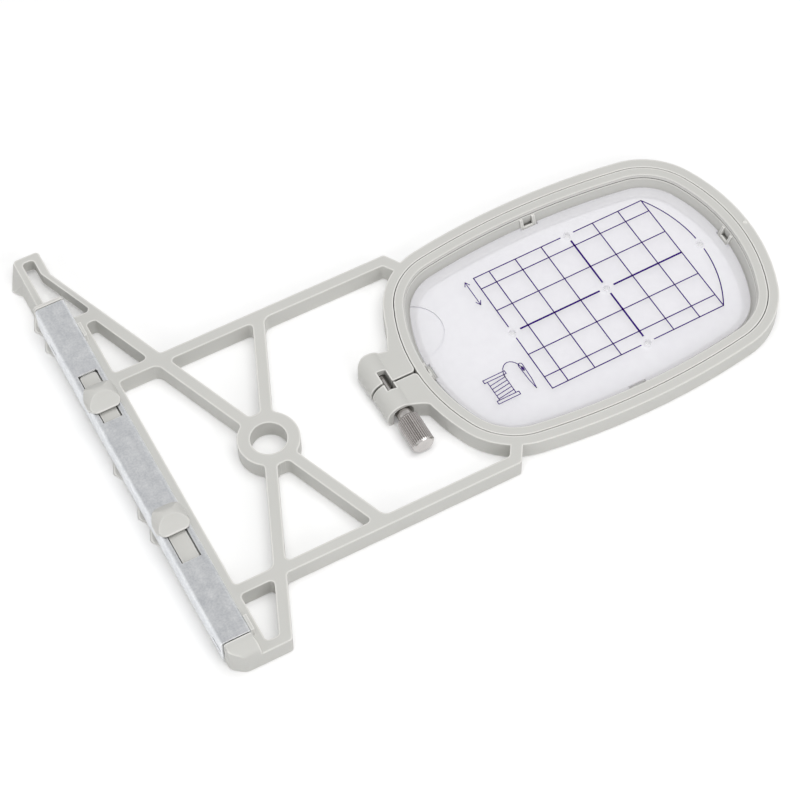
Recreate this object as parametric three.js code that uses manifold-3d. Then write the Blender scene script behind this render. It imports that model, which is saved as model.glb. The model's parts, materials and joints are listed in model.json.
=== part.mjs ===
// Machine embroidery hoop: a split outer ring on a truss arm, an inner ring with a marking sheet,
// a thumb screw that draws the split shut, and an attachment bar with two sliding locks under steel.
// Millimetres, +Z up. Drawn about the middle of the sewing ring: +X points to the ring's free end,
// -X to the attachment bar, +Y along the bar to its end loop. The hoop lies on z = 0.

import * as THREE from 'three';
import { mergeVertices } from 'three/addons/utils/BufferGeometryUtils.js';
import Module from 'manifold-3d';

const wasm = await Module();
wasm.setup();

// The flat moulding and the gap kept between pieces that slide, seat or snap together
const plateThickness = 7;
const clearance = 0.3;
const cornerFillet = 1.3;
const edgeFillet = 0.4;

// How far a cutting body runs past the face it opens, and how finely round things are drawn
const cutMargin = 1;
const discSteps = 48;
const boreSteps = 24;
const pegSteps = 12;
const bendSteps = 5;

// Sewing ring: an oval of end, corner and side arcs, drawn on the line where the two rings meet
const ovalHalfLength = 60.8;
const ovalHalfWidth = 41.7;
const ovalEndRadius = 62;
const ovalCornerRadius = 22.6;
const ovalSideRadius = 244;
const ovalArcSteps = 12;
const outerRingWall = 3.5;
const innerRingWall = 3.1;
const innerWallLean = 1.9;
const ledgeWidth = 2.5;
const ledgeThickness = 1.3;
const wallGrooveTop = 5.9;
const wallGrooveHeight = 0.4;
const wallGrooveDepth = 0.4;

// Gusseted pockets inside the inner ring that locate the marking sheet
const seatWidth = 5.6;
const seatPostWidth = 1.1;
const seatReach = 1.1;
const seatHeight = 5.2;
const seatSillHeight = 2.3;
const seatTopDepth = 1.2;
const seatSillWall = 0.6;
const seatHollowDepth = 1.2;
const seatShifts = [0.5, -1.5, 0, 0];

// Marking sheet: clear plastic with small pencil holes and a shallow hollow for a finger
const sheetThickness = 1.2;
const printCentreX = 10.9;
const printCentreY = 1.45;
const printTurn = THREE.MathUtils.degToRad(1);
const fieldHalfWidth = 25;
const fieldLeft = 35.9;
const fieldApex = 36.5;
const pencilHoleRadius = 1.15;
const fingerHollowRadius = 10.5;
const fingerHollowDepth = 0.6;
const fingerHollowY = 16.5;
const fingerHollowInset = 7.4;

// Clamp: a web and a round boss on each side of the split, a thumb screw and its brass insert
const splitGap = 0.75;
const splitRounding = 1.3;
const lugFarReach = 12.6;
const lugNearReach = 10.3;
const lugRounding = 4.4;
const lugTaper = 24;
const shoulderOut = 4.4;
const shoulderDrop = 1.3;
const bossRadius = 5;
const nearBossInset = 0.4;
const bossHeight = 3.2;
const bossOutset = 1.1;
const screwOffset = 10.2;
const screwHeight = 4;
const screwRadius = 1.25;
const screwSlotWidth = 3.2;
const screwSlotFloor = 1;
const slotFar = 4.9;
const slotNear = 3;
const collarRadius = 2.6;
const collarLength = 4.8;
const collarPocketDepth = 2.5;
const collarPocketSide = 0.9;
const headRadius = 3.85;
const headLength = 11.3;
const headChamfer = 0.7;
const knurlDepth = 0.32;
const knurlCount = 32;
const insertRadius = 2.1;
const insertLength = 6;

// Truss: two arms, a crossed brace and a round hub
const armOutset = 0.35;
const armWidth = 3.7;
const armEndInset = 12.5;
const neckWidth = 3.9;
const neckLength = 10;
const neckAngle = THREE.MathUtils.degToRad(57.6);
const hubDistance = 52.55;
const hubRadius = 10.05;
const hubHoleRadius = 5.85;
const braceWidth = 3.9;
const braceFillet = 3;
const hubFillet = 1.6;
const farBraceSlope = 0.398;
const nearBraceSlope = 0.41;
const railDistance = 32.3;

// Attachment bar: bays beyond the arms, the end loop and the block that closes the near end
const railStripWidth = 2.85;
const farBayLength = 22.05;
const bridgeWidth = 4.2;
const coverPastBridge = 5.2;
const loopReach = 25.1;
const loopBarWidth = 2.3;
const loopSlotWidth = 4;
const loopWidth = 9;
const loopRise = 2;
const thinStrutWidth = 1.9;
const nearBayLength = 17.75;
const nearBarWidth = 3.2;
const blockLength = 6.4;
const blockTop = 11.2;
const blockNoseLength = 2.2;
const blockNoseDrop = 0.4;
const blockNoseShoulder = 9.6;
const blockChamferX = 4.2;
const blockChamferY = 3.1;
const blockRounding = 4;
const lipThickness = 1.2;
const railDraft = 1.4;
const flangeHeight = 1.7;

// Steel channel over the bar, with one window for each slider and four snap windows
const coverWidth = 10.1;
const coverTop = 11.5;
const coverWall = 0.8;
const coverBend = 1.1;
const windowWidth = 6.5;
const windowLength = 20;
const windowSpacing = 57.2;
const snapLength = 6;
const snapHeight = 2;
const snapLow = 4;
const snapFromFarEnd = 12.2;
const snapFromNearEnd = 4;
const towerLength = 8;
const towerWidth = 1.2;
const towerHeight = 2.2;

// Sliding locks: a finger pad, a stem through the window, a tongue and a keel in the trough
const padLength = 10.6;
const padOverhang = 0.3;
const padTop = 16;
const padSkirt = 10.4;
const padSkirtHeight = 0.5;
const padCrest = 1.6;
const padRearDrop = 0.7;
const padTailWidth = 5.2;
const padTailLength = 4;
const padToeWidth = 8.8;
const padToeLength = 3;
const padRounding = 3;
const stemLength = 7.6;
const tongueThickness = 1.6;
const tongueFar = 11.2;
const tongueNear = 17;
const tongueSideGap = 0.4;
const farPadOffset = -0.9;
const nearPadOffset = 5.5;
const troughWidth = 4.2;
const troughFloor = 1.8;
const troughEndWall = 4;
const keelDepth = 2.4;
const keelFar = 8;
const keelNear = 14;
const latchThickness = 1.2;
const latchLength = 12;
const latchHook = 1.4;
const pegRadius = 0.7;
const springThickness = 0.4;
const springWidth = 2.8;
const springPad = 2.4;
const pinSlotWidth = 3.4;
const pinSlotLength = 16;

// Barbs on the bar's outer foot, in two like groups
const barbReach = 2.2;
const barbLength = 9.2;
const barbLead = 3.5;
const barbTip = 0.8;
const barbGroupSpacing = 80.9;
const barbFromLoop = 9.8;
const barbPlaces = [0, 18.3, 27.5];
const loopBarbHeight = 6.5;

const greyPlastic = new THREE.MeshStandardMaterial({ color: 0xc9c9c5, roughness: 0.55 });
const zincSteel = new THREE.MeshStandardMaterial({ color: 0xbfc3c7, roughness: 0.35, metalness: 0.9 });
const nickelSteel = new THREE.MeshStandardMaterial({ color: 0xb9b1aa, roughness: 0.3, metalness: 0.95 });
const brass = new THREE.MeshStandardMaterial({ color: 0xb8964f, roughness: 0.35, metalness: 0.95 });
const clearSheet = new THREE.MeshStandardMaterial({
  color: 0xe9e9ef, roughness: 0.25, transparent: true, opacity: 0.45,
});

// Places worked out from the sizes
const ringLeft = -ovalHalfLength;
const screwX = ringLeft - screwOffset;
const bossX = screwX - bossOutset;
const hubX = ringLeft - hubDistance;
const railRight = hubX - railDistance;
const stripLeft = railRight - railStripWidth;
const coverRight = stripLeft - clearance;
const coverLeft = coverRight - coverWidth;
const coverX = (coverLeft + coverRight) / 2;
const footLeft = coverLeft + coverWall + clearance - railDraft * flangeHeight / plateThickness;
const railTopLeft = footLeft + railDraft;
const armInner = ovalHalfWidth + armOutset;
const armOuter = armInner + armWidth;
const bridgeNear = armOuter + farBayLength;
const bridgeFar = bridgeNear + bridgeWidth;
const coverFarEnd = bridgeFar + coverPastBridge;
const loopEnd = coverFarEnd + loopReach;
const nearBarFar = -armOuter - nearBayLength;
const nearBarFront = nearBarFar - nearBarWidth;
const coverNearEnd = nearBarFront + blockLength;
const coverMiddle = (coverFarEnd + coverNearEnd) / 2;
const tongueTop = coverTop - coverWall - clearance;
const tongueBottom = tongueTop - tongueThickness;
const guideTop = tongueBottom - clearance;
const keelBottom = tongueBottom - keelDepth;
const sheetBottom = ledgeThickness + clearance;
const slotLeft = railTopLeft + loopBarWidth;
const grooveLeft = coverRight - coverWall - clearance;
const lipFar = coverFarEnd + clearance + lipThickness;
const snapPlaces = [coverFarEnd - snapFromFarEnd, coverNearEnd + snapFromNearEnd];
const sliderReach = (windowLength - stemLength) / 2 - clearance;
const sliderPlaces = [
  { name: 'upper', window: coverMiddle + windowSpacing / 2, offset: farPadOffset },
  { name: 'lower', window: coverMiddle - windowSpacing / 2, offset: nearPadOffset },
].map(({ name, window, offset }) => ({
  name,
  window,
  y: window + offset,
  low: -sliderReach - offset,
  high: sliderReach - offset,
}));

function arc(cx, cy, radius, from, to, steps) {
  const points = [];
  for (let i = 0; i < steps; i += 1) {
    const angle = from + (to - from) * i / steps;
    points.push([cx + radius * Math.cos(angle), cy + radius * Math.sin(angle)]);
  }
  return points;
}

function circle(cx, cy, radius, steps) {
  return arc(cx, cy, radius, 0, 2 * Math.PI, steps);
}

// The ring's oval, moved out by an offset: four corner arcs joined tangentially to end and side arcs
function oval(offset) {
  const endX = ovalHalfLength - ovalEndRadius;
  const sideY = ovalHalfWidth - ovalSideRadius;
  const toEnd = ovalEndRadius - ovalCornerRadius;
  const toSide = ovalSideRadius - ovalCornerRadius;
  const apart = Math.hypot(endX, sideY);
  const along = (toEnd ** 2 - toSide ** 2 + apart ** 2) / (2 * apart);
  const across = Math.sqrt(toEnd ** 2 - along ** 2);
  const ux = -endX / apart;
  const uy = sideY / apart;
  const cornerX = endX + ux * along - uy * across;
  const cornerY = uy * along + ux * across;
  const endAngle = Math.atan2(cornerY, cornerX - endX);
  const sideAngle = Math.atan2(cornerY - sideY, cornerX);
  const quarter = [
    ...arc(endX, 0, ovalEndRadius + offset, 0, endAngle, ovalArcSteps / 2),
    ...arc(cornerX, cornerY, ovalCornerRadius + offset, endAngle, sideAngle, ovalArcSteps),
    ...arc(0, sideY, ovalSideRadius + offset, sideAngle, Math.PI / 2, ovalArcSteps / 2),
  ];
  const top = [0, ovalHalfWidth + offset];
  const right = quarter[0];
  const rest = quarter.slice(1);
  const mirrored = rest.map(([x, y]) => [-x, y]).reverse();
  const upper = [right, ...rest, top, ...mirrored, [-right[0], 0]];
  const lower = upper.slice(1, -1).map(([x, y]) => [-x, -y]);
  return [...upper, ...lower];
}

// A polygon whose corners are rounded; a third number on a point is its own radius
function rounded(points, radius, steps = 4) {
  const largestShare = 0.45;
  const smallestBend = 0.05;
  const straightAngle = 1.5;
  const result = [];
  points.forEach(([x, y, own], i) => {
    const before = points[(i + points.length - 1) % points.length];
    const after = points[(i + 1) % points.length];
    const corner = new THREE.Vector2(x, y);
    const back = new THREE.Vector2(before[0] - x, before[1] - y);
    const ahead = new THREE.Vector2(after[0] - x, after[1] - y);
    const room = largestShare * Math.min(back.length(), ahead.length());
    back.normalize();
    ahead.normalize();
    const half = Math.acos(THREE.MathUtils.clamp(back.dot(ahead), -1, 1)) / 2;
    const reach = Math.min((own ?? radius) / Math.tan(half), room);
    const bend = reach * Math.tan(half);
    if (bend < smallestBend || half > straightAngle) {
      result.push([x, y]);
      return;
    }
    const toCentre = back.clone().add(ahead).normalize();
    const centre = corner.clone().addScaledVector(toCentre, bend / Math.sin(half));
    const start = corner.clone().addScaledVector(back, reach).sub(centre).angle();
    const end = corner.clone().addScaledVector(ahead, reach).sub(centre).angle();
    const turn = THREE.MathUtils.euclideanModulo(end - start + Math.PI, 2 * Math.PI) - Math.PI;
    result.push(...arc(centre.x, centre.y, bend, start, start + turn, steps));
    result.push([centre.x + bend * Math.cos(end), centre.y + bend * Math.sin(end)]);
  });
  return result;
}

function outline(points) {
  return points.map(([x, y]) => new THREE.Vector2(x, y));
}

// Closed extrusions of a point list: upwards, along the bar (points in X and Z), across it (Y and Z)
function prism(points, low, high) {
  const options = { depth: high - low, bevelEnabled: false };
  return new THREE.ExtrudeGeometry(new THREE.Shape(outline(points)), options).translate(0, 0, low);
}

function prismY(points, near, far) {
  return prism(points, 0, far - near).rotateX(Math.PI / 2).translate(0, far, 0);
}

function prismX(points, left, right) {
  const turned = new THREE.Matrix4().makeBasis(
    new THREE.Vector3(0, 1, 0), new THREE.Vector3(0, 0, 1), new THREE.Vector3(1, 0, 0),
  );
  return prism(points, 0, right - left).applyMatrix4(turned).translate(left, 0, 0);
}

function box(left, right, near, far, low, high) {
  const geometry = new THREE.BoxGeometry(right - left, far - near, high - low);
  return geometry.translate((left + right) / 2, (near + far) / 2, (low + high) / 2);
}

function cylinderY(x, z, radius, near, far, steps) {
  return prismY(circle(x, z, radius, steps), near, far);
}

// A closed body between a lower and an upper outline with as many points
function loft(lower, low, upper, high) {
  const count = lower.length;
  const positions = [...lower.map(([x, y]) => [x, y, low]), ...upper.map(([x, y]) => [x, y, high])].flat();
  const index = [];
  for (let i = 0; i < count; i += 1) {
    const j = (i + 1) % count;
    index.push(i, j, count + j, i, count + j, count + i);
  }
  THREE.ShapeUtils.triangulateShape(outline(lower), []).forEach(([a, b, c]) => index.push(c, b, a));
  THREE.ShapeUtils.triangulateShape(outline(upper), []).forEach(([a, b, c]) => {
    index.push(count + a, count + b, count + c);
  });
  const geometry = new THREE.BufferGeometry();
  geometry.setAttribute('position', new THREE.Float32BufferAttribute(positions, 3));
  geometry.setIndex(index);
  return geometry;
}

function solid(geometry) {
  const bare = geometry.clone();
  bare.deleteAttribute('normal');
  bare.deleteAttribute('uv');
  const merged = mergeVertices(bare);
  const corners = merged.index.array;
  const faces = [];
  for (let i = 0; i < corners.length; i += 3) {
    const [a, b, c] = corners.slice(i, i + 3);
    if (a !== b && b !== c && c !== a) faces.push(a, b, c);
  }
  return new wasm.Manifold(new wasm.Mesh({
    numProp: 3,
    vertProperties: Float32Array.from(merged.attributes.position.array),
    triVerts: Uint32Array.from(faces),
  }));
}

function join(...geometries) {
  return geometries.map(solid).reduce((sum, next) => sum.add(next));
}

function cut(body, ...geometries) {
  return geometries.map(solid).reduce((rest, tool) => rest.subtract(tool), body);
}

function piece(name, body, material) {
  const { vertProperties, triVerts } = body.getMesh();
  const geometry = new THREE.BufferGeometry();
  geometry.setAttribute('position', new THREE.Float32BufferAttribute(vertProperties, 3));
  geometry.setIndex(new THREE.Uint32BufferAttribute(triVerts, 1));
  geometry.computeVertexNormals();
  const mesh = new THREE.Mesh(geometry, material);
  mesh.name = name;
  return mesh;
}

// Edges of the crossed brace: the far bar leans to -X as Y grows, the near one to +X
const braceSpread = braceWidth / 2 * Math.hypot(1, (farBraceSlope + nearBraceSlope) / 2);
const farBar = (y, side) => hubX - farBraceSlope * y + side * braceSpread;
const nearBar = (y, side) => hubX + nearBraceSlope * y + side * braceSpread;

// Plan of the truss and bar: one outline, open towards the ring, with rounded bays cut from it.
// Each arm ends in a short neck that turns in to the ring.
function trussPlate() {
  const armEnd = ringLeft + armEndInset;
  const neckX = Math.cos(neckAngle);
  const neckY = Math.sin(neckAngle);
  const neckInner = armEnd + (armWidth * neckX - neckWidth) / neckY;
  const neckEndX = armEnd + neckLength * neckX;
  const neckEndY = armOuter - neckLength * neckY;
  const loopRight = railTopLeft + loopWidth;
  const loopFoot = (hubX + braceSpread - loopRight) / farBraceSlope;
  const plan = rounded([
    [railTopLeft, nearBarFront, 0],
    [nearBar(nearBarFront, 1), nearBarFront],
    [nearBar(-armOuter, 1), -armOuter],
    [armEnd, -armOuter],
    [neckEndX, -neckEndY, 0],
    [neckEndX - neckWidth * neckY, neckWidth * neckX - neckEndY, 0],
    [neckInner, -armInner],
    [farBar(-armInner, 1), -armInner, braceFillet],
    [hubX + braceSpread, 0, 0],
    [nearBar(armInner, 1), armInner, braceFillet],
    [neckInner, armInner],
    [neckEndX - neckWidth * neckY, neckEndY - neckWidth * neckX, 0],
    [neckEndX, neckEndY, 0],
    [armEnd, armOuter],
    [farBar(armOuter, 1), armOuter],
    [loopRight, loopFoot],
    [loopRight, loopEnd],
    [railTopLeft, loopEnd],
  ], cornerFillet);
  const hubSide = braceSpread / farBraceSlope;
  const bays = [
    [[railRight, armInner], [railRight, -armInner], [nearBar(-armInner, -1), -armInner, braceFillet],
      [hubX - braceSpread, 0, 0], [farBar(armInner, -1), armInner, braceFillet]],
    [[farBar(armInner, 1), armInner], [hubX, hubSide, 0], [nearBar(armInner, -1), armInner]],
    [[nearBar(-armInner, 1), -armInner], [hubX, -hubSide, 0], [farBar(-armInner, -1), -armInner]],
    [[railRight, armOuter], [railRight, bridgeNear], [farBar(bridgeNear, -1), bridgeNear],
      [farBar(armOuter, -1), armOuter]],
    [[railRight, nearBarFar], [railRight, -armOuter], [nearBar(-armOuter, -1), -armOuter],
      [nearBar(nearBarFar, -1), nearBarFar]],
    loopBay(),
  ];
  const plate = solid(prism(plan, 0, plateThickness)).add(hubDisc(hubRadius, 0, plateThickness));
  const open = bays.map((bay) => prism(rounded(bay, cornerFillet), -cutMargin, plateThickness + cutMargin));
  return cut(plate, ...open).add(hubDisc(hubRadius, 0, plateThickness)).add(join(...hubFillets()))
    .subtract(hubDisc(hubHoleRadius, -cutMargin, plateThickness + cutMargin));
}

// Fillets between the hub and both sides of each of its four brace bars
function hubFillets() {
  const slopes = [-farBraceSlope, nearBraceSlope];
  return slopes.flatMap((slope) => [1, -1].flatMap((end) => [1, -1].map((side) => {
    const ahead = new THREE.Vector2(slope, 1).normalize().multiplyScalar(end);
    const across = new THREE.Vector2(-ahead.y, ahead.x).multiplyScalar(side);
    const half = braceSpread / Math.hypot(1, slope);
    const along = Math.sqrt((hubRadius + hubFillet) ** 2 - (half + hubFillet) ** 2);
    const place = (u, v) => [hubX + ahead.x * u + across.x * v, ahead.y * u + across.y * v];
    const [cx, cy] = place(along, half + hubFillet);
    const start = Math.atan2(-across.y, -across.x);
    const turn = -side * (Math.PI / 2 - Math.atan2(half + hubFillet, along));
    const bend = arc(cx, cy, hubFillet, start, start + turn, bendSteps);
    const last = [cx + hubFillet * Math.cos(start + turn), cy + hubFillet * Math.sin(start + turn)];
    return prism([...bend, last, place(hubRadius - hubFillet, 0)], 0, plateThickness);
  })));
}

function hubDisc(radius, low, high) {
  return solid(prism(circle(hubX, 0, radius, discSteps), low, high));
}

// The far bay runs on into the end loop's slot; its strut is thin and its loop is raised off the bed
function loopBay() {
  const slotRight = slotLeft + loopSlotWidth;
  const thin = braceSpread - thinStrutWidth * braceSpread * 2 / braceWidth;
  const strutEdge = (y) => hubX - farBraceSlope * y + thin;
  const slotFoot = (hubX + thin - slotRight) / farBraceSlope;
  return [
    [slotLeft, loopEnd - loopBarWidth],
    [slotLeft, lipFar, 0],
    [stripLeft, lipFar, 0],
    [stripLeft, bridgeFar],
    [strutEdge(bridgeFar), bridgeFar],
    [slotRight, slotFoot],
    [slotRight, loopEnd - loopBarWidth],
  ];
}

function loopUnderside() {
  return box(slotLeft, railRight + braceWidth, bridgeFar, loopEnd + cutMargin, -cutMargin, loopRise);
}

// Split ring with its clamp: the bosses are slotted to show the screw and hollowed for its collar
function splitRing() {
  const half = splitGap / 2;
  const slot = screwSlotWidth / 2;
  const root = ringLeft + outerRingWall;
  const taperX = ringLeft + outerRingWall / 2;
  const shoulderX = ringLeft - shoulderOut;
  const above = bossHeight + bossRadius;
  const web = rounded([
    [root, lugTaper, 0],
    [taperX, lugTaper, 0],
    [shoulderX, lugFarReach - shoulderDrop],
    [screwX, lugFarReach, lugRounding],
    [bossX, lugFarReach, 0],
    [bossX, -lugNearReach, 0],
    [screwX + collarRadius, -lugNearReach],
    [shoulderX, -lugNearReach - shoulderDrop, shoulderOut],
    [shoulderX + shoulderOut / 2, -lugNearReach - 2 * shoulderDrop, shoulderOut / 2],
    [taperX, -lugTaper, 0],
    [root, -lugTaper, 0],
  ], edgeFillet);
  const farPlan = rounded([
    [bossX - bossRadius, 0, 0],
    [bossX + bossRadius, 0, 0],
    [bossX + bossRadius, lugFarReach, 0],
    [bossX - bossRadius, lugFarReach, lugRounding],
  ], 0, bendSteps);
  const farBoss = solid(cylinderY(bossX, bossHeight, bossRadius, 0, lugFarReach, discSteps))
    .intersect(solid(prism(farPlan, -above, above + cutMargin)));
  const nearX = bossX + nearBossInset;
  const nearBoss = cylinderY(nearX, bossHeight, bossRadius, -lugNearReach, 0, discSteps);
  const left = bossX - bossRadius - cutMargin;
  const ring = join(prism(oval(outerRingWall), 0, plateThickness), prism(web, 0, plateThickness), nearBoss);
  return cut(
    ring.add(farBoss),
    box(left, ringLeft, -lugTaper, lugTaper, -above, 0),
    box(left, root, -half, half, -cutMargin, above + cutMargin),
    box(screwX - slot, screwX + slot, -slotNear, slotFar, screwSlotFloor, above + cutMargin),
    collarPocket(),
    ...splitCorners(),
  );
}

// Rounds the two corners where the split opens into the ring
function splitCorners() {
  const half = splitGap / 2;
  const wall = ringLeft - clearance / 2;
  return [1, -1].map((side) => {
    const edge = side * (half + splitRounding);
    const bend = arc(wall - splitRounding, edge, splitRounding, -side * Math.PI / 2, 0, bendSteps);
    const clear = wall + cutMargin;
    const outside = [[wall, edge], [clear, edge], [clear, 0], [wall - splitRounding, 0]];
    return prism([...bend, ...outside], -cutMargin, plateThickness + cutMargin);
  });
}

// Arched hollow in the near boss, open below, that lets in the end of the screw's collar
function collarPocket() {
  const half = collarRadius + collarPocketSide;
  const top = screwHeight + collarRadius + clearance;
  const arch = rounded([
    [screwX - half, -cutMargin, 0],
    [screwX + half, -cutMargin, 0],
    [screwX + half, top, collarRadius],
    [screwX - half, top, collarRadius],
  ], 0, bendSteps);
  return prismY(arch, -lugNearReach - cutMargin, -lugNearReach + collarPocketDepth);
}

function screwBores() {
  const pocketNear = lugFarReach - insertLength - clearance;
  const bore = screwRadius + clearance;
  return [
    cylinderY(screwX, screwHeight, bore, -lugNearReach, lugFarReach, boreSteps),
    cylinderY(screwX, screwHeight, insertRadius + clearance, pocketNear, lugFarReach + cutMargin, boreSteps),
  ];
}

// Section of the steel channel's outer face, moved out by an offset, down to a given height
function coverArch(offset, low) {
  const left = coverLeft - offset;
  const right = coverRight + offset;
  const top = coverTop + offset;
  const bend = coverBend + offset;
  return rounded([[left, low, 0], [right, low, 0], [right, top, bend], [left, top, bend]], 0, bendSteps);
}

// Bar under the channel: a drafted outer foot and two guide walls that carry the sliders
function railCore() {
  const near = coverNearEnd - clearance;
  const section = [
    [footLeft, 0],
    [stripLeft, 0],
    [stripLeft, plateThickness],
    [grooveLeft, plateThickness],
    [grooveLeft, guideTop],
    [railTopLeft, guideTop],
    [railTopLeft, plateThickness],
  ];
  const loopSection = [
    [footLeft, 0], [slotLeft, 0], [slotLeft, plateThickness], [railTopLeft, plateThickness],
  ];
  return join(prismY(section, near, lipFar), prismY(loopSection, lipFar, loopEnd - cornerFillet));
}

// Hollows of the bar: the groove for the channel's inner leg, the locks' trough and the pin slots
function railHollows() {
  const half = troughWidth / 2;
  const pin = pinSlotWidth / 2;
  const near = coverNearEnd + troughEndWall;
  const far = coverFarEnd - troughEndWall;
  const groove = box(
    grooveLeft, stripLeft, coverNearEnd - clearance, coverFarEnd + clearance, flangeHeight, coverTop,
  );
  const trough = box(coverX - half, coverX + half, near, far, troughFloor, coverTop);
  const slots = sliderPlaces.map(({ y, low, high }) => {
    const hook = y - keelNear + latchHook / 2;
    const spare = (pinSlotLength - (high - low)) / 2;
    return box(
      coverX - pin, coverX + pin, hook + low - spare, hook + high + spare,
      -cutMargin, troughFloor + cutMargin,
    );
  });
  return [groove, trough, ...slots];
}

function farLip() {
  return prismY(coverArch(0, 0), coverFarEnd + clearance, lipFar);
}

// Block that closes the near end, with a rounded nose in side view
function nearBlock() {
  const back = coverNearEnd - clearance;
  const front = nearBarFront;
  const nose = new THREE.CubicBezierCurve(
    new THREE.Vector2(back, blockTop),
    new THREE.Vector2(front + blockNoseLength, blockTop - blockNoseDrop),
    new THREE.Vector2(front, blockNoseShoulder),
    new THREE.Vector2(front, plateThickness),
  );
  const curve = nose.getPoints(3 * bendSteps).map((point) => point.toArray());
  const side = [[back, 0], ...curve, [front, 0]];
  const section = rounded([
    [footLeft, 0, 0],
    [stripLeft, 0, 0],
    [stripLeft, plateThickness],
    [coverRight, blockTop, coverBend],
    [coverLeft + coverWall, blockTop, coverBend],
  ], edgeFillet, bendSteps);
  return solid(prismX(side, footLeft, stripLeft)).intersect(solid(prismY(section, front, back)));
}

function blockChamfer() {
  const right = footLeft + 2 * blockChamferX;
  const far = nearBarFront + 2 * blockChamferY;
  const corner = rounded([
    [footLeft - cutMargin, nearBarFront - cutMargin, 0],
    [right, nearBarFront - cutMargin, 0],
    [right, nearBarFront, 0],
    [footLeft + blockChamferX, nearBarFront],
    [footLeft, nearBarFront + blockChamferY],
    [footLeft, far, 0],
    [footLeft - cutMargin, far, 0],
  ], blockRounding, bendSteps);
  return prism(corner, -cutMargin, coverTop);
}

// Spring towers beside the channel's inner leg, and the barbs that catch its four snap windows
function snapTowers() {
  const half = towerLength / 2;
  const low = plateThickness - cutMargin;
  const high = plateThickness + towerHeight;
  return snapPlaces.map((y) => {
    const side = [
      [y - half, low], [y + half, low], [y + half - towerWidth, high], [y - half + towerWidth, high],
    ];
    return prismX(side, stripLeft, stripLeft + towerWidth);
  });
}

function snapBarbs() {
  const low = snapLow + clearance;
  const high = snapLow + snapHeight - clearance;
  const half = snapLength / 2 - clearance;
  const bite = coverWall / 2;
  const root = coverX - troughWidth / 2;
  const outer = [[root, low], [root, high], [railTopLeft, high], [coverLeft + bite, low]];
  const inner = [[railRight, low], [coverRight - bite, low], [stripLeft, high], [railRight, high]];
  return snapPlaces.flatMap((y) => [outer, inner].map((section) => prismY(section, y - half, y + half)));
}

// Barbs along the outer foot: those past the channel stand nearly as high as the bar
function footBarbs() {
  const groups = [0, barbGroupSpacing];
  return groups.flatMap((group) => barbPlaces.map((place) => {
    const near = loopEnd - barbFromLoop - group - place;
    const height = near > lipFar ? loopBarbHeight : flangeHeight;
    return footBarb(near, height);
  }));
}

function footBarb(near, height) {
  const far = near + barbLength;
  const tipX = footLeft - barbReach;
  const tipFar = near + barbLead + barbTip;
  const wall = footLeft + railDraft * height / plateThickness;
  const foot = [
    [footLeft, near], [tipX, near + barbLead], [tipX, tipFar],
    [footLeft, far], [slotLeft, far], [slotLeft, near],
  ];
  const crest = foot.map(([x, y]) => [Math.max(x, wall), y]);
  return loft([...foot].reverse(), 0, [...crest].reverse(), height);
}

function outerFrame() {
  const blank = trussPlate().subtract(solid(loopUnderside())).add(railCore()).add(splitRing());
  const hollowed = cut(blank, ...railHollows()).add(solid(farLip())).add(nearBlock());
  const detailed = hollowed.add(join(...snapTowers(), ...snapBarbs(), ...footBarbs()));
  const seat = prism(oval(clearance / 2), -cutMargin, plateThickness + cutMargin);
  return cut(detailed, seat, blockChamfer(), ...screwBores());
}

// The four sides where the inner ring has a pocket: +X, +Y, -X and -Y, each turned from the first
const seatSides = seatShifts.map((shift, quarter) => ({
  turn: quarter * Math.PI / 2,
  out: quarter % 2 === 0 ? ovalHalfLength : ovalHalfWidth,
  shift,
}));
const wallFoot = -innerRingWall - innerWallLean;

// A pocket: two gusset posts and a low thin sill between them, drawn at the +X side of the ring
function seat({ turn, out, shift }) {
  const front = wallFoot - seatReach;
  const back = -innerRingWall / 2;
  const low = ledgeThickness / 2;
  const top = -innerRingWall - seatTopDepth;
  const sillFront = front + (top - front) * (seatSillHeight - low) / (seatHeight - low);
  const half = seatWidth / 2;
  const post = [[back, low], [back, seatHeight], [top, seatHeight], [front, low]];
  const sillBack = sillFront + seatSillWall;
  const sill = [[sillBack, low], [sillBack, seatSillHeight], [sillFront, seatSillHeight], [front, low]];
  const pocket = join(
    prismY(post, -half, seatPostWidth - half),
    prismY(post, half - seatPostWidth, half),
    prismY(sill, -half, half),
  );
  return pocket.translate(out, shift, 0).rotate(0, 0, THREE.MathUtils.radToDeg(turn));
}

// The hollow that sinks into the ring's wall behind a sill
function seatHollow({ turn, out, shift }) {
  const half = seatWidth / 2 - seatPostWidth;
  const front = out + wallFoot - seatReach;
  const back = out + wallFoot + seatHollowDepth;
  return box(front, back, shift - half, shift + half, ledgeThickness, seatHeight).rotateZ(turn);
}

// Inner ring: a wall that leans in to the ledge, with a fine groove round it under its mouth
function innerRing() {
  const slope = innerWallLean / (plateThickness - ledgeThickness);
  const mouth = oval(-innerRingWall + slope * cutMargin);
  const hollow = loft(oval(wallFoot), ledgeThickness, mouth, plateThickness + cutMargin);
  const hole = prism(oval(wallFoot - ledgeWidth), -cutMargin, plateThickness);
  const grooveReach = wallFoot + slope * (wallGrooveTop - ledgeThickness) + wallGrooveDepth;
  const groove = prism(oval(grooveReach), wallGrooveTop - wallGrooveHeight, wallGrooveTop);
  const blank = solid(prism(oval(-clearance / 2), 0, plateThickness));
  const ring = cut(blank, hollow, hole, groove, ...seatSides.map(seatHollow));
  return seatSides.map(seat).reduce((sum, next) => sum.add(next), ring);
}

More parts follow.
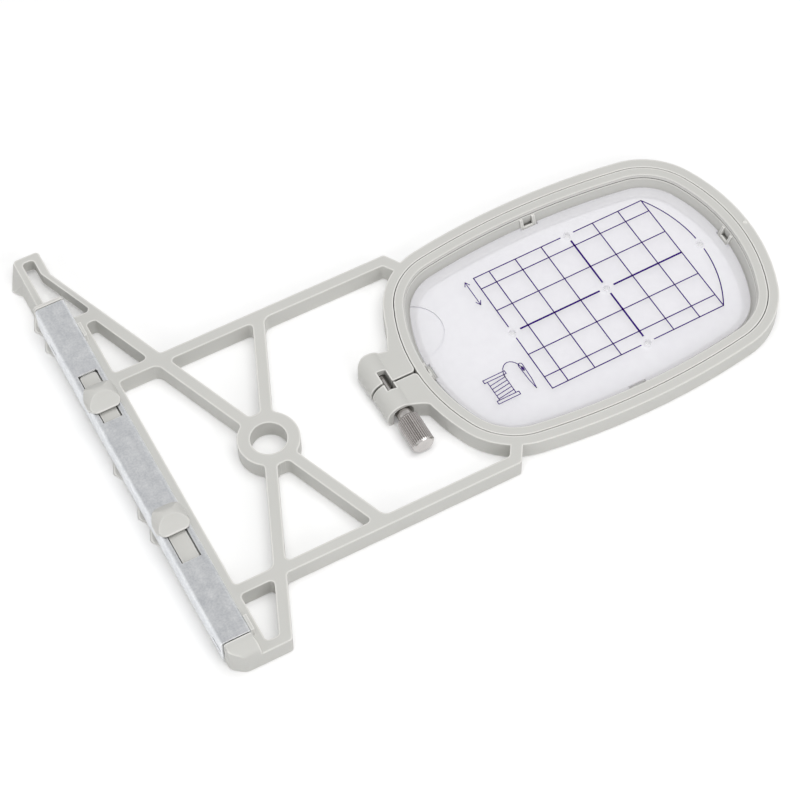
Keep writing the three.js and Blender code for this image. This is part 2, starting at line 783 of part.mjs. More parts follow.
// Clear sheet on the ledge, notched round the pockets, with pencil holes on the printed field
function markingSheet() {
  const low = sheetBottom - cutMargin;
  const high = sheetBottom + sheetThickness + cutMargin;
  const half = seatWidth / 2 + clearance;
  const depth = wallFoot - seatReach - clearance;
  const holes = [[0, 0], [-fieldLeft, 0], [fieldApex, 0], [0, fieldHalfWidth], [0, -fieldHalfWidth]];
  const drilled = holes.map(([u, v]) => {
    const x = printCentreX + u * Math.cos(printTurn) - v * Math.sin(printTurn);
    const y = printCentreY + u * Math.sin(printTurn) + v * Math.cos(printTurn);
    return prism(circle(x, y, pencilHoleRadius, boreSteps), low, high);
  });
  const notches = seatSides.map(({ turn, out, shift }) => (
    box(out + depth, out, shift - half, shift + half, low, high).rotateZ(turn)
  ));
  const fingerX = ringLeft + fingerHollowInset;
  const floor = sheetBottom + sheetThickness - fingerHollowDepth;
  const finger = prism(circle(fingerX, fingerHollowY, fingerHollowRadius, discSteps), floor, high);
  const blank = prism(oval(wallFoot - clearance), sheetBottom, sheetBottom + sheetThickness);
  return cut(solid(blank), ...drilled, ...notches, finger);
}

// Thumb screw: a plain shank, a collar in the near boss and a knurled head with chamfered ends
function clampScrew() {
  const collarFar = collarPocketDepth - clearance - lugNearReach;
  const headFar = collarFar - collarLength;
  const headNear = headFar - headLength;
  const knurl = circle(screwX, screwHeight, headRadius, knurlCount * 2).map(([x, z], i) => {
    const inward = i % 2 === 0 ? 1 : 1 - knurlDepth / headRadius;
    return [screwX + (x - screwX) * inward, screwHeight + (z - screwHeight) * inward];
  });
  const profile = [
    [0, headNear], [headRadius - headChamfer, headNear], [headRadius, headNear + headChamfer],
    [headRadius, headFar - headChamfer], [headRadius - headChamfer, headFar], [0, headFar],
  ];
  const barrel = new THREE.LatheGeometry(outline(profile), discSteps).translate(screwX, 0, screwHeight);
  const head = solid(barrel).intersect(solid(prismY(knurl, headNear - cutMargin, headFar + cutMargin)));
  return head.add(join(
    cylinderY(screwX, screwHeight, collarRadius, headFar - headChamfer, collarFar, boreSteps),
    cylinderY(screwX, screwHeight, screwRadius, headFar - headChamfer, lugFarReach - headChamfer, boreSteps),
  ));
}

function threadInsert() {
  const far = lugFarReach - clearance;
  const near = lugFarReach - insertLength;
  const sleeve = solid(cylinderY(screwX, screwHeight, insertRadius, near, far, boreSteps));
  const bore = screwRadius + clearance / 2;
  return cut(sleeve, cylinderY(screwX, screwHeight, bore, near - cutMargin, far + cutMargin, boreSteps));
}

function channelCover() {
  const legLow = flangeHeight + clearance;
  const side = windowWidth / 2;
  const left = coverLeft - cutMargin;
  const right = coverRight + cutMargin;
  const windowHalf = windowLength / 2;
  const snapHalf = snapLength / 2;
  const windowLow = coverTop - coverWall - cutMargin;
  const windows = sliderPlaces.map(({ window }) => box(
    coverX - side, coverX + side, window - windowHalf, window + windowHalf, windowLow, coverTop + cutMargin,
  ));
  const snaps = snapPlaces.map((y) => box(
    left, right, y - snapHalf, y + snapHalf, snapLow, snapLow + snapHeight,
  ));
  const shell = cut(
    solid(prismY(coverArch(0, legLow), coverNearEnd, coverFarEnd)),
    prismY(coverArch(-coverWall, legLow - cutMargin), coverNearEnd - cutMargin, coverFarEnd + cutMargin),
  );
  return cut(shell, ...windows, ...snaps);
}

// Finger pad: an arch across the bar, hollowed on the side that the finger pushes, astride the channel
function fingerPad(y) {
  const spread = coverWidth / 2 + clearance + padOverhang;
  const half = padLength / 2;
  const crest = padCrest / 2;
  const lip = coverTop + 2 * clearance;
  const foot = padSkirt + padSkirtHeight;
  const turn = circle(0, 0, 1, discSteps).filter(([, rise]) => rise >= 0);
  const arch = [
    [coverX - spread, padSkirt],
    [coverX + spread, padSkirt],
    ...turn.map(([out, rise]) => [coverX + spread * out, foot + (padTop - foot) * rise]),
  ];
  const push = new THREE.QuadraticBezierCurve(
    new THREE.Vector2(y - half, lip),
    new THREE.Vector2(y - half / 2, lip + (padTop - lip) / 3),
    new THREE.Vector2(y - crest, padTop - padRearDrop / 2),
  );
  const fall = new THREE.QuadraticBezierCurve(
    new THREE.Vector2(y + crest, padTop),
    new THREE.Vector2(y + half / 2, padTop - padRearDrop),
    new THREE.Vector2(y + half, lip),
  );
  const over = new THREE.QuadraticBezierCurve(
    push.v2, new THREE.Vector2(y - crest / 2, padTop), fall.v0,
  );
  const steps = 2 * bendSteps;
  const curves = [push, over, fall].flatMap((curve, i) => curve.getPoints(steps).slice(i > 0 ? 1 : 0));
  const side = [[y + half, padSkirt], [y - half, padSkirt], ...curves.map((point) => point.toArray())];
  const profile = solid(prismX(side, coverX - spread - cutMargin, coverX + spread + cutMargin));
  const toe = padToeWidth / 2;
  const tail = padTailWidth / 2;
  const plan = rounded([
    [coverX - toe, y - half],
    [coverX + toe, y - half],
    [coverX + spread, y - half + padToeLength],
    [coverX + spread, y + half - padTailLength],
    [coverX + tail, y + half],
    [coverX - tail, y + half],
    [coverX - spread, y + half - padTailLength],
    [coverX - spread, y - half + padToeLength],
  ], padRounding, bendSteps);
  const hump = solid(prismY(arch, y - half, y + half)).intersect(profile)
    .intersect(solid(prism(plan, 0, padTop + cutMargin)));
  const channel = coverArch(clearance, padSkirt - cutMargin);
  return cut(hump, prismY(channel, y - half - cutMargin, y + half + cutMargin));
}

// Slider: the pad, its stem through the window, a flat tongue under the channel and a keel in the trough
function slider({ y }) {
  const side = windowWidth / 2 - tongueSideGap;
  const keelSide = troughWidth / 2 - clearance;
  const stemHalf = stemLength / 2;
  const plan = rounded([
    [coverX - side, y - tongueNear, 0],
    [coverX + side, y - tongueNear, 0],
    [coverX + side, y + tongueFar],
    [coverX - side, y + tongueFar],
  ], cornerFillet);
  const pegLow = keelBottom - clearance - latchThickness;
  const pegs = pegPlaces(y).map((place) => {
    return prism(circle(coverX, place, pegRadius, pegSteps), pegLow, tongueBottom);
  });
  return fingerPad(y).add(join(
    prism(plan, tongueBottom, tongueTop),
    box(coverX - side, coverX + side, y - stemHalf, y + stemHalf, tongueBottom, coverTop + 2 * clearance),
    box(coverX - keelSide, coverX + keelSide, y - keelNear, y + keelFar, keelBottom, tongueTop),
    ...pegs,
  ));
}

// Two pegs hold the latch plate and one holds the leaf spring
function pegPlaces(y) {
  const latchNear = y - keelNear;
  return [latchNear + latchLength / 3, latchNear + latchLength * 2 / 3, springStart(y) + springPad / 2];
}

function springStart(y) {
  return y - keelNear + latchLength + clearance;
}

function pegHoles(y) {
  const radius = pegRadius + clearance / 2;
  return pegPlaces(y).map((place) => prism(circle(coverX, place, radius, pegSteps), 0, coverTop));
}

// Latch plate: a steel strip under the keel whose end is turned down to hook the carriage pin
function latchPlate({ y }) {
  const side = troughWidth / 2 - 2 * clearance;
  const near = y - keelNear;
  const top = keelBottom - clearance;
  const bottom = top - latchThickness;
  const section = [
    [near, troughFloor + clearance],
    [near + latchHook, troughFloor + clearance],
    [near + latchHook, bottom],
    [near + latchLength, bottom],
    [near + latchLength, top],
    [near, top],
  ];
  return cut(solid(prismX(section, coverX - side, coverX + side)), ...pegHoles(y));
}

// Leaf spring: a flat pad on its peg, then a bow that bears on the trough's floor and returns to the keel
function leafSpring({ y }) {
  const start = springStart(y);
  const bowStart = start + springPad;
  const end = y + keelFar;
  const top = keelBottom - clearance - springThickness / 2;
  const bottom = troughFloor + clearance + springThickness / 2;
  const steps = boreSteps;
  const middle = [new THREE.Vector2(start, top)];
  for (let i = 0; i <= steps; i += 1) {
    const dip = Math.sin(Math.PI * i / steps) ** 2;
    middle.push(new THREE.Vector2(bowStart + (end - bowStart) * i / steps, top - (top - bottom) * dip));
  }
  const normals = middle.map((point, i) => {
    const before = middle[Math.max(i - 1, 0)];
    const after = middle[Math.min(i + 1, middle.length - 1)];
    const along = after.clone().sub(before).normalize();
    return new THREE.Vector2(-along.y, along.x).multiplyScalar(springThickness / 2);
  });
  const upper = middle.map((point, i) => point.clone().add(normals[i]).toArray());
  const lower = middle.map((point, i) => point.clone().sub(normals[i]).toArray());
  const strip = prismX([...lower, ...upper.reverse()], coverX - springWidth / 2, coverX + springWidth / 2);
  return cut(solid(strip), ...pegHoles(y));
}

const hoop = new THREE.Group();
hoop.add(
  piece('outer_frame', outerFrame(), greyPlastic),
  piece('inner_ring', innerRing(), greyPlastic),
  piece('marking_sheet', markingSheet(), clearSheet),
  piece('clamp_screw', clampScrew(), nickelSteel),
  piece('thread_insert', threadInsert(), brass),
  piece('channel_cover', channelCover(), zincSteel),
);
for (const place of sliderPlaces) {
  hoop.add(
    piece(`${place.name}_slider`, slider(place), greyPlastic),
    piece(`${place.name}_latch_plate`, latchPlate(place), zincSteel),
    piece(`${place.name}_leaf_spring`, leafSpring(place), zincSteel),
  );
}

// The origin is the middle of the hoop's footprint on the bed it lies on
const extent = new THREE.Box3().setFromObject(hoop);
const middle = extent.getCenter(new THREE.Vector3());
hoop.position.set(-middle.x, -middle.y, -extent.min.z);

export default hoop;
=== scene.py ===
import json
from math import asin, atan2, cos, hypot, pi, radians, sin

import bpy
from mathutils import Matrix, Vector

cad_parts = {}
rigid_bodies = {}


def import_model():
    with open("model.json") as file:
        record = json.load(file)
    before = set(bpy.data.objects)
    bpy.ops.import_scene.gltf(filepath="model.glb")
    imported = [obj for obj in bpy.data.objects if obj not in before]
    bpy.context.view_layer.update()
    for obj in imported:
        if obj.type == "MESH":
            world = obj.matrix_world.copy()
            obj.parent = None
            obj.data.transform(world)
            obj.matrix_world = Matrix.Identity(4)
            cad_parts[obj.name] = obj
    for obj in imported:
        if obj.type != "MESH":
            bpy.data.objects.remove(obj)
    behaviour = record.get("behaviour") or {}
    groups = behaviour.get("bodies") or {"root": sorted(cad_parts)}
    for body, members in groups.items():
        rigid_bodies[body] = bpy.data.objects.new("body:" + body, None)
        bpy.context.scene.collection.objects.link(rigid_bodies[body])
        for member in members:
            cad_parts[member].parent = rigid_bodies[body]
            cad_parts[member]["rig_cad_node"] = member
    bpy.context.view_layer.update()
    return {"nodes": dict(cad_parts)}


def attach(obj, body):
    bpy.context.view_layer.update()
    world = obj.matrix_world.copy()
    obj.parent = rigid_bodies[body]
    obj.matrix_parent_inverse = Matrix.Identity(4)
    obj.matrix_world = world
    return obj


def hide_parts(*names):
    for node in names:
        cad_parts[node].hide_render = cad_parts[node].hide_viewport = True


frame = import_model()


# Outer frame: one injection moulding in light grey plastic. It carries the split ring, the crossed brace
# with its hub and the attachment bar, and every edge has the small round that a mould leaves.
class Wire:
    """A socket of a material's nodes: sums and products of wires add Math nodes, node() adds any other."""

    def __init__(self, tree, socket=None):
        self.tree = tree
        self.socket = socket

    def node(self, kind, settings, inputs, output=0):
        made = self.tree.nodes.new(kind)
        for name, value in settings.items():
            setattr(made, name, value)
        for name, value in inputs.items():
            self.plug(made.inputs[name], value)
        return Wire(self.tree, made.outputs[output])

    def plug(self, socket, value):
        if isinstance(value, Wire):
            self.tree.links.new(value.socket, socket)
        else:
            socket.default_value = value

    def maths(self, operation, first, second):
        return self.node("ShaderNodeMath", {"operation": operation}, {0: first, 1: second})

    def __add__(self, other):
        return self.maths("ADD", self, other)

    def __radd__(self, other):
        return self.maths("ADD", other, self)

    def __sub__(self, other):
        return self.maths("SUBTRACT", self, other)

    def __rsub__(self, other):
        return self.maths("SUBTRACT", other, self)

    def __mul__(self, other):
        return self.maths("MULTIPLY", self, other)

    def __rmul__(self, other):
        return self.maths("MULTIPLY", other, self)


def photo_colour(red, green, blue):
    """A colour read as 0 to 255 on a screen, as the linear colour that a shader takes."""
    parts = [value / 255 for value in (red, green, blue)]
    linear = [((part + 0.055) / 1.055) ** 2.4 if part > 0.04045 else part / 12.92 for part in parts]
    return (*linear, 1)


def new_finish(name, **constants):
    """A material with its shader, the shader's constants set, and the place on the piece as a wire."""
    material = bpy.data.materials.new(name)
    material.use_nodes = True
    shader = material.node_tree.nodes["Principled BSDF"]
    for socket, value in constants.items():
        shader.inputs[socket.replace("_", " ")].default_value = value
    start = Wire(material.node_tree)
    place = start.node("ShaderNodeTexCoord", {}, {}, "Object")
    return material, shader, place


def noise(place, scale, detail=2, roughness=0.5):
    """Soft noise from 0 to 1, with so many bumps to the metre."""
    inputs = {"Vector": place, "Scale": scale, "Detail": detail, "Roughness": roughness}
    return place.node("ShaderNodeTexNoise", {}, inputs, "Fac")


def mixed(factor, first, second):
    """Two colours mixed by a wire: sockets 6 and 7 of the node take its colours, and 2 gives one out."""
    return factor.node("ShaderNodeMix", {"data_type": "RGBA"}, {0: factor, 6: first, 7: second}, 2)


round_rays = 8
cover_rays = 12


def grain_normal(place, height, distance, strength, edge_round):
    """A normal with rounded edges that also follows a height wire."""
    rounded = place.node("ShaderNodeBevel", {"samples": round_rays}, {"Radius": edge_round}, "Normal")
    inputs = {"Height": height, "Distance": distance, "Strength": strength, "Normal": rounded}
    return place.node("ShaderNodeBump", {}, inputs, "Normal")


def covered_share(place, reach, inside, own_piece=True):
    """The share of a point's outlook that its piece, or any piece, covers, over its surface or inwards."""
    settings = {"samples": cover_rays, "only_local": own_piece, "inside": inside}
    return 1 - place.node("ShaderNodeAmbientOcclusion", settings, {"Distance": reach}, "AO")


def at_most_one(share):
    """A share that stops at 1 and at 0."""
    return share.maths("MAXIMUM", share.maths("MINIMUM", share, 1), 0)


def grey_moulding(name, highlight_strength, shade_mask):
    """Satin grey plastic: faint flow clouds, a fine eroded mould grain, a painted highlight along its edges
    and painted shade in its crevices.
    """
    dim_grey = photo_colour(197, 197, 193)
    bright_grey = photo_colour(204, 203, 199)
    edge_highlight = photo_colour(234, 233, 229)
    crevice_shade = photo_colour(70, 67, 63)
    material, shader, place = new_finish(name, IOR=1.46)
    clouds = noise(place, scale=38, detail=3)
    grain = noise(place, scale=2600, detail=1)
    sheen = noise(place, scale=260)
    body = mixed(clouds, dim_grey, bright_grey)
    # Painted highlight: edges are lightened towards a near-white grey.
    edges = at_most_one(highlight_strength * covered_share(place, reach=0.0006, inside=True))
    edge_highlighted = mixed(edges, body, edge_highlight)
    # Painted shade: slots, splits and narrow gaps are darkened towards a dark grey by the shade mask.
    place.plug(shader.inputs["Base Color"], mixed(shade_mask(place), edge_highlighted, crevice_shade))
    place.plug(shader.inputs["Roughness"], 0.44 + 0.12 * sheen)
    relief = grain_normal(place, grain, distance=0.00002, strength=0.3, edge_round=0.00045)
    place.plug(shader.inputs["Normal"], relief)
    return material


def deep_corner_shade(place):
    """Where shade is painted: 1 in slots and splits, 0 on open faces and in plain inside corners."""
    plain_corner = 0.5
    return at_most_one(2 * (covered_share(place, reach=0.0022, inside=False) - plain_corner))


joining_distance = 1e-6
smooth_angle = radians(32)


def joined_copy(node, name):
    """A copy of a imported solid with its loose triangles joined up, smooth over its curves."""
    solid = frame["nodes"][node]
    bpy.ops.object.select_all(action="DESELECT")
    solid.select_set(True)
    bpy.context.view_layer.objects.active = solid
    bpy.ops.object.duplicate()
    piece = bpy.context.object
    piece.name = name
    del piece["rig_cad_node"]
    piece.data.materials.clear()
    bpy.ops.mesh.customdata_custom_splitnormals_clear()
    bpy.ops.object.mode_set(mode="EDIT")
    bpy.ops.mesh.select_all(action="SELECT")
    bpy.ops.mesh.remove_doubles(threshold=joining_distance)
    bpy.ops.object.mode_set(mode="OBJECT")
    bpy.ops.object.shade_smooth_by_angle(angle=smooth_angle)
    return piece


def dressed(piece, finish, node, body):
    """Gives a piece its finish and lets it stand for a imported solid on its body."""
    piece.data.materials.append(finish)
    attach(piece, body)
    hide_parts(node)


# The frame's plastic paints a highlight along its edges and shade in its slots and splits.
plastic = grey_moulding("grey_moulding", highlight_strength=2.4, shade_mask=deep_corner_shade)
dressed(joined_copy("outer_frame", "frame_moulding"), plastic, "outer_frame", "frame")


# Alignment mark: a small raised arrow head on the ring's flat top, where its long axis ends. It is moulded
# with the ring and shows which way the cloth's middle line runs.
mark_place = (0.1111, -0.0178, 0.0071)
mark_reach = 0.0012
mark_taper = 0.6
mark_height = 0.0006
mark_round = 0.00008
edge_steps = 2
bpy.ops.object.select_all(action="DESELECT")
bpy.ops.mesh.primitive_cone_add(
    vertices=3, radius1=mark_reach, radius2=mark_taper * mark_reach, depth=mark_height,
    location=mark_place, rotation=(0, 0, pi / 2),
)
mark = bpy.context.object
mark.name = "alignment_mark"
bpy.ops.object.transform_apply(location=True, rotation=True, scale=True)
mark_bevel = mark.modifiers.new("edge round", "BEVEL")
mark_bevel.width = mark_round
mark_bevel.segments = edge_steps
bpy.ops.object.modifier_apply(modifier=mark_bevel.name)
bpy.ops.object.shade_smooth_by_angle(angle=smooth_angle)
mark.data.materials.append(plastic)
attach(mark, "frame")


# Steel channel: folded from zinc plated strip and snapped over the bar. Rolling leaves long faint streaks
# along it, and the plating is a shade bluer than the plastic.
channel_round = 0.00018
flat_angle = radians(0.4)
corner_angle = radians(38)


def round_edges(piece, rounding):
    """Rounds the sharp edges of a piece whose flat faces are first made whole."""
    bpy.ops.object.mode_set(mode="EDIT")
    bpy.ops.mesh.select_all(action="SELECT")
    bpy.ops.mesh.dissolve_limited(angle_limit=flat_angle)
    bpy.ops.object.mode_set(mode="OBJECT")
    bevel = piece.modifiers.new("edge round", "BEVEL")
    bevel.width = rounding
    bevel.segments = edge_steps
    bevel.limit_method = "ANGLE"
    bevel.angle_limit = corner_angle
    bevel.use_clamp_overlap = False
    bpy.ops.object.modifier_apply(modifier=bevel.name)
    bpy.ops.object.shade_smooth_by_angle(angle=smooth_angle)
    weighted = piece.modifiers.new("flat faces", "WEIGHTED_NORMAL")
    weighted.keep_sharp = True
    bpy.ops.object.modifier_apply(modifier=weighted.name)
    return piece


def rolled_zinc():
    """Zinc plated strip, streaked along the bar by rolling and a little cloudy from the plating bath, with a
    painted highlight along its cut edges.
    """
    streaks_to_metre = (700, 25, 700)
    dull_zinc = photo_colour(204, 207, 212)
    bright_zinc = photo_colour(250, 251, 252)
    cut_edge_highlight = photo_colour(253, 253, 253)
    material, shader, place = new_finish("rolled_zinc", Metallic=1.0)
    drawn_out = {"Vector": place, "Scale": streaks_to_metre}
    stretched = place.node("ShaderNodeMapping", {}, drawn_out, "Vector")
    streaks = noise(stretched, scale=1, detail=4, roughness=0.6)
    clouds = noise(place, scale=260, detail=3)
    spangle = noise(place, scale=1500, detail=3, roughness=0.7)
    patches = 0.2 * streaks + 0.35 * clouds + 0.45 * spangle
    contrast = at_most_one(0.5 + 2.4 * (patches - 0.5))
    bath = mixed(contrast, dull_zinc, bright_zinc)
    # Painted highlight: the strip's cut edges are lightened to near white.
    cut_edge_highlight_share = at_most_one(2.2 * covered_share(place, reach=0.00035, inside=True))
    place.plug(shader.inputs["Base Color"], mixed(cut_edge_highlight_share, bath, cut_edge_highlight))
    place.plug(shader.inputs["Roughness"], 0.3 + 0.2 * streaks + 0.1 * clouds)
    relief = grain_normal(place, patches, distance=0.00002, strength=0.35, edge_round=0.0002)
    place.plug(shader.inputs["Normal"], relief)
    return material


zinc = rolled_zinc()
channel = round_edges(joined_copy("channel_cover", "channel_strip"), channel_round)
dressed(channel, zinc, "channel_cover", "frame")


# Sliding locks: a finger pad, stem and tongue in the same grey plastic, with a pressed steel latch plate
# and a leaf spring pegged under each one.
def narrow_gap_shade(place):
    """Where shade is painted: 1 where a lock's side stands close to the channel or the bar, 0 on its open
    faces.
    """
    open_face = 0.55
    return at_most_one(3 * (covered_share(place, reach=0.0012, inside=False, own_piece=False) - open_face))


pressed_round = 0.00006
# The locks' plastic paints shade where they stand close to the channel or the bar, and a weaker highlight
# along their edges.
lock_plastic = grey_moulding("lock_moulding", highlight_strength=1.1, shade_mask=narrow_gap_shade)
for lock in ("upper", "lower"):
    body = f"{lock}_lock"
    pad = joined_copy(f"{lock}_slider", f"{lock}_lock_pad")
    dressed(pad, lock_plastic, f"{lock}_slider", body)
    for hidden in ("latch_plate", "leaf_spring"):
        pressed = round_edges(joined_copy(f"{lock}_{hidden}", f"{lock}_{hidden}_steel"), pressed_round)
        dressed(pressed, zinc, f"{lock}_{hidden}", body)


# Clamp screw: a turned steel thumb screw with a nickel plated collar and a straight knurled head. It draws
# on a small brass insert that is pressed into the far lug.
def plated_nickel():
    """Bright nickel with a warm cast, with painted shade in the grooves of the knurl."""
    dim_nickel = photo_colour(190, 186, 184)
    bright_nickel = photo_colour(210, 207, 205)
    knurl_valley_shade = photo_colour(112, 95, 86)
    material, shader, place = new_finish("plated_nickel", Metallic=1.0)
    clouds = noise(place, scale=420)
    # Painted shade: the knurl's grooves are darkened towards a warm dark brown.
    groove_shade = at_most_one(2.4 * (covered_share(place, reach=0.0006, inside=False) - 0.1))
    plating = mixed(clouds, dim_nickel, bright_nickel)
    place.plug(shader.inputs["Base Color"], mixed(groove_shade, plating, knurl_valley_shade))
    place.plug(shader.inputs["Roughness"], 0.16 + 0.12 * clouds)
    return material


def turned_brass():
    """Plain turned brass, dulled a little."""
    dull_brass = photo_colour(186, 152, 84)
    bright_brass = photo_colour(214, 184, 112)
    material, shader, place = new_finish("turned_brass", Metallic=1.0)
    clouds = noise(place, scale=600)
    place.plug(shader.inputs["Base Color"], mixed(clouds, dull_brass, bright_brass))
    place.plug(shader.inputs["Roughness"], 0.28 + 0.16 * clouds)
    return material


screw_round = 0.00004
insert_round = 0.0001
screw = round_edges(joined_copy("clamp_screw", "thumb_screw"), screw_round)
dressed(screw, plated_nickel(), "clamp_screw", "screw")
insert = round_edges(joined_copy("thread_insert", "brass_insert"), insert_round)
dressed(insert, turned_brass(), "thread_insert", "frame")


# Inner ring: a second oval moulding of the same grey plastic, pressed into the outer ring over the cloth,
# with a ledge inside that the marking sheet lies on.
dressed(joined_copy("inner_ring", "inner_ring_moulding"), plastic, "inner_ring", "ring")


# Marking sheet: a clear plastic plate, slightly frosted, with pencil holes through it and a shallow hollow
# at one end for the finger that lifts it off the ledge.
def frosted_clear():
    """Clear plastic with a cool cast and a soft haze, with painted shade along the steps of its hollow and
    holes, where it is also less clear.
    """
    dim_frost = photo_colour(247, 246, 251)
    bright_frost = photo_colour(251, 250, 254)
    step_shade = photo_colour(186, 186, 194)
    material, shader, place = new_finish("frosted_clear", IOR=1.49)
    haze = noise(place, scale=60, detail=3, roughness=0.6)
    # Painted shade: the steps of the hollow and holes are greyed and made less clear.
    steps = at_most_one(3 * (covered_share(place, reach=0.0005, inside=False) - 0.15))
    frost = mixed(haze, dim_frost, bright_frost)
    place.plug(shader.inputs["Base Color"], mixed(steps, frost, step_shade))
    place.plug(shader.inputs["Alpha"], 0.34 + 0.1 * haze + 0.4 * steps)
    place.plug(shader.inputs["Roughness"], 0.18 + 0.1 * haze)
    return material


sheet = joined_copy("marking_sheet", "clear_marking_sheet")
dressed(sheet, frosted_clear(), "marking_sheet", "sheet")


# Printed field: purple screen ink on the sheet's top face. The 10 mm squares guide the cloth, the heavy
# lines mark the middle, and each line stops short of a pencil hole. A small spool and needle show the use.
ink_bottom = 0.0028
ink_film = 0.00003
field_middle = (0.05889, -0.01635)
field_turn = radians(1.02)
thin_line = 0.00038
heavy_line = 0.00064
sign_line = 0.00028
thin_purple = photo_colour(50, 4, 104)
heavy_purple = photo_colour(46, 2, 104)
square = 0.01
hole_gap = 0.0025
field_left, field_right, field_side, field_apex = -0.0359, 0.0292, 0.025, 0.0365
end_steps = 18


def ink(name, colour):
    """Printing ink that lies a little unevenly."""
    thinner = 1.25
    material, shader, place = new_finish(name, Specular_IOR_Level=0.1)
    density = noise(place, scale=1400)
    pale = tuple(thinner * part for part in colour[:3])
    place.plug(shader.inputs["Base Color"], mixed(density, colour, (*pale, 1)))
    place.plug(shader.inputs["Roughness"], 0.4 + 0.2 * density)
    return material


def bent(points):
    """A run of points as separate straight strokes."""
    return list(zip(points[:-1], points[1:]))


def turned(centre, radius, first, last, steps, squash=1):
    """Points along an arc, or along an oval's arc where it is squashed across."""
    angles = [first + (last - first) * step / steps for step in range(steps + 1)]
    return [(centre[0] + radius * cos(a), centre[1] + squash * radius * sin(a)) for a in angles]


def printed(name, lines, width, colour):
    """Ink strokes as thin films on the sheet, each a little longer than its line so that bends close."""
    bpy.ops.object.select_all(action="DESELECT")
    bpy.ops.mesh.primitive_plane_add(size=1)
    piece = bpy.context.object
    piece.name = name
    bpy.ops.object.mode_set(mode="EDIT")
    bpy.ops.mesh.select_all(action="SELECT")
    bpy.ops.mesh.delete(type="VERT")
    for (x0, y0), (x1, y1) in lines:
        middle = ((x0 + x1) / 2, (y0 + y1) / 2, 0)
        length = hypot(x1 - x0, y1 - y0) + width / 2
        bpy.ops.mesh.primitive_plane_add(size=1, location=middle)
        bpy.ops.transform.resize(value=(length, width, 1), center_override=middle)
        bpy.ops.transform.rotate(value=-atan2(y1 - y0, x1 - x0), orient_axis="Z", center_override=middle)
    bpy.ops.mesh.select_all(action="SELECT")
    bpy.ops.mesh.extrude_region_move(TRANSFORM_OT_translate={"value": (0, 0, ink_film)})
    bpy.ops.mesh.select_all(action="SELECT")
    bpy.ops.mesh.normals_make_consistent(inside=False)
    bpy.ops.object.mode_set(mode="OBJECT")
    piece.rotation_euler = (0, 0, field_turn)
    piece.location = (*field_middle, ink_bottom)
    bpy.ops.object.transform_apply(location=True, rotation=True, scale=True)
    piece.data.materials.append(ink(f"{name}_ink", colour))
    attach(piece, "sheet")


squares = [((field_right, -field_side), (field_right, field_side))]
for count in (-3, -2, -1, 1, 2):
    squares.append(((count * square, -field_side), (count * square, field_side)))
for count in (-2, -1, 1, 2):
    squares.append(((field_left, count * square), (field_right, count * square)))
for side in (-1, 1):
    squares.append(((field_left, side * hole_gap), (field_left, side * field_side)))
    squares.append(((field_left, side * field_side), (-hole_gap, side * field_side)))
    squares.append(((hole_gap, side * field_side), (field_right, side * field_side)))
rise = field_apex - field_right
end_radius = (field_side ** 2 + rise ** 2) / (2 * rise)
end_centre = (field_apex - end_radius, 0)
end_angle = asin(field_side / end_radius)
for side in (-1, 1):
    start_angle = side * hole_gap / end_radius
    squares += bent(turned(end_centre, end_radius, start_angle, side * end_angle, end_steps))
printed("printed_squares", squares, thin_line, thin_purple)

# Heavy lines cross the field's middle and leave its hole free
cross_gap, cross_end = 0.0026, 0.0222
axis_start, axis_gap = -0.0328, 0.0028
heavy = []
for side in (-1, 1):
    heavy.append(((0, side * cross_gap), (0, side * cross_end)))
heavy.append(((axis_start, 0), (-axis_gap, 0)))
heavy.append(((axis_gap, 0), (field_right, 0)))
printed("printed_middle", heavy, heavy_line, heavy_purple)

# The spool stands beside the needle, and its thread loops over to the eye
spool_left, spool_right, spool_low, spool_high = -0.0528, -0.0468, -0.0212, -0.0122
flange_left, flange_right, flange_half = spool_left - 0.001, spool_right + 0.001, 0.0006
wrap_count, wrap_start, wrap_pitch, wrap_slope = 5, 0.0011, 0.0014, 0.0008
loop_centre, loop_radius, loop_squash = (-0.0435, -0.0142), 0.0033, 1.5
needle_x, needle_top, needle_tip = -0.0402, -0.0122, -0.0224
needle_half, taper_half, taper_length = 0.0007, 0.0005, 0.004
eye_drop, eye_half, eye_squash = 0.0016, 0.0003, 3
signs = []
for y in (spool_low, spool_high):
    under, over = y - flange_half, y + flange_half
    signs += bent([
        (flange_left, under), (flange_right, under), (flange_right, over), (flange_left, over),
        (flange_left, under),
    ])
for x in (spool_left, spool_right):
    signs.append(((x, spool_low + flange_half), (x, spool_high - flange_half)))
for wrap in range(wrap_count):
    low = spool_low + wrap_start + wrap_pitch * wrap
    signs.append(((spool_left, low), (spool_right, low + wrap_slope)))
signs += bent(turned(loop_centre, loop_radius, pi, 0, steps=12, squash=loop_squash))
for side in (-1, 1):
    signs += bent([
        (needle_x + side * needle_half, needle_top),
        (needle_x + side * taper_half, needle_tip + taper_length),
        (needle_x, needle_tip),
    ])
signs += bent(turned((needle_x, needle_top), needle_half, pi, 0, steps=6))
eye_centre = (needle_x, needle_top - eye_drop)
signs += bent(turned(eye_centre, eye_half, 0, 2 * pi, steps=8, squash=eye_squash))

# A plain two-headed arrow shows which way the cloth is turned
arrow_x, arrow_low, arrow_high = -0.0392, 0.0146, 0.0249
head_half, head_length = 0.0009, 0.0016
signs.append(((arrow_x, arrow_low), (arrow_x, arrow_high)))
for tip, back in ((arrow_low, 1), (arrow_high, -1)):
    for side in (-1, 1):
        signs.append(((arrow_x, tip), (arrow_x + side * head_half, tip + back * head_length)))
printed("printed_signs", signs, sign_line, thin_purple)


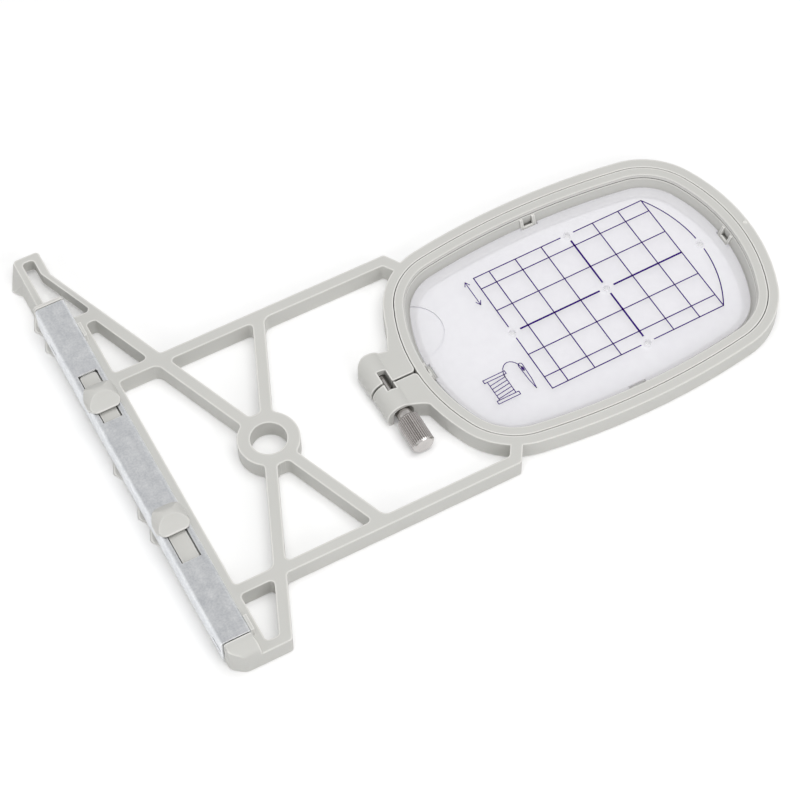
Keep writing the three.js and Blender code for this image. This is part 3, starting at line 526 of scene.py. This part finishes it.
# Studio: a pale floor that keeps the hoop's soft shadow, one wide soft box overhead, one low at the left for
# the steel channel, one in front for the screw's head, and the camera at the photograph's angle.
def seen_ray(tree):
    """1 for rays that should find the plain white background, 0 for those that carry the room's light."""
    start = Wire(tree)
    rays = ("Camera", "Glossy", "Transmission")
    camera, glossy, through = (start.node("ShaderNodeLightPath", {}, {}, f"Is {ray} Ray") for ray in rays)
    return start.maths("MAXIMUM", start.maths("MAXIMUM", camera, glossy), through)


room_level = 0.38
ceiling_dim = 0.42
world = bpy.data.worlds.new("white_room")
world.use_nodes = True
bpy.context.scene.world = world
background = world.node_tree.nodes["Background"]
background.inputs["Color"].default_value = (1, 1, 1, 1)
seen = seen_ray(world.node_tree)
aim = seen.node("ShaderNodeTexCoord", {}, {}, "Generated")
height = aim.node("ShaderNodeSeparateXYZ", {}, {"Vector": aim}, "Z")
ceiling = height.maths("MAXIMUM", height, 0)
seen.plug(background.inputs["Strength"], room_level + (1 - room_level - ceiling_dim * ceiling) * seen)

floor_size = 6
floor_drop = 0.0002
paper_white = (0.93, 0.93, 0.93, 1)
paper_glow = 0.1
bpy.ops.object.select_all(action="DESELECT")
bpy.ops.mesh.primitive_plane_add(size=floor_size, location=(0, 0, -floor_drop))
floor = bpy.context.object
floor.name = "studio_floor"
paper, paper_shader, paper_place = new_finish("white_paper", Roughness=0.9)
paper_shader.inputs["Base Color"].default_value = paper_white
paper_shader.inputs["Specular IOR Level"].default_value = 0
paper_shader.inputs["Emission Strength"].default_value = paper_glow
glow = mixed(seen_ray(paper.node_tree), (0, 0, 0, 1), (1, 1, 1, 1))
paper_place.plug(paper_shader.inputs["Emission Color"], glow)
floor.data.materials.append(paper)


def soft_box(name, place, size, power, mirrored):
    """A square soft light that faces the hoop, and that metal mirrors or not."""
    data = bpy.data.lights.new(name, "AREA")
    data.size = size
    data.energy = power
    lamp = bpy.data.objects.new(name, data)
    lamp.location = place
    lamp.rotation_euler = Vector(place).to_track_quat("Z", "Y").to_euler()
    lamp.visible_glossy = mirrored
    bpy.context.scene.collection.objects.link(lamp)


soft_box("overhead_box", (0.1, -0.1, 1.3), size=1.2, power=11.4, mirrored=False)
soft_box("left_box", (-0.95, -0.25, 0.35), size=0.6, power=1.8, mirrored=True)
soft_box("front_box", (0.33, -1.1, 0.65), size=0.6, power=3.2, mirrored=True)

# The camera was fitted to the photograph: its lens, its three directions and its place
sensor_width = 36
lens_length = 105.906
sight_end = 20
camera_place = (-0.20775, -0.39001, 0.62736)
across = Vector((0.88095, -0.47296, -0.01526))
upward = Vector((0.40228, 0.73153, 0.55049))
away = Vector((-0.24920, -0.49110, 0.83470))
camera_data = bpy.data.cameras.new("photo_camera")
camera_data.sensor_width = sensor_width
camera_data.lens = lens_length
camera_data.clip_end = sight_end
camera = bpy.data.objects.new("photo_camera", camera_data)
bpy.context.scene.collection.objects.link(camera)
turn = Matrix((across, upward, away)).transposed().to_4x4()
camera.matrix_world = Matrix.Translation(camera_place) @ turn
bpy.context.scene.camera = camera
bpy.context.scene.view_settings.view_transform = "Standard"
